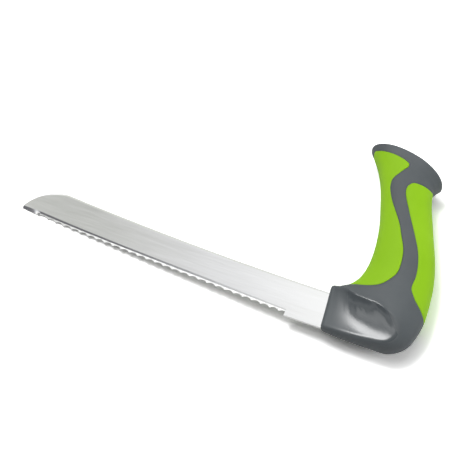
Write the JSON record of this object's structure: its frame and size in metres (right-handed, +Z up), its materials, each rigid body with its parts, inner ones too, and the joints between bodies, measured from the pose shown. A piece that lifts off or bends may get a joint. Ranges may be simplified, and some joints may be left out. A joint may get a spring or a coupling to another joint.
{
  "type": "bread knife",
  "caption": "Serrated bread knife with a straight blunt-backed blade and an upright pistol-style grip with soft pads front and back.",
  "frame": {"origin": "centre of the underside of the bounding box, on the table the knife lies on", "axes": "+X from the point of the blade towards the handle, +Y from the cutting edge up along the grip, +Z up from the table, across the knife's thickness"},
  "size_m": [0.2572, 0.1366, 0.0267],
  "materials": {
    "steel": "fine brushed along the blade, teeth ground bright from one side",
    "shell": "satin, moulded in one piece",
    "pads": "matt and soft, moulded flush with the shell"
  },
  "bodies": {
    "root": {"blade": "steel", "handle_body": "shell", "finger_pad": "pads", "palm_pad": "pads"}
  },
  "joints": []
}
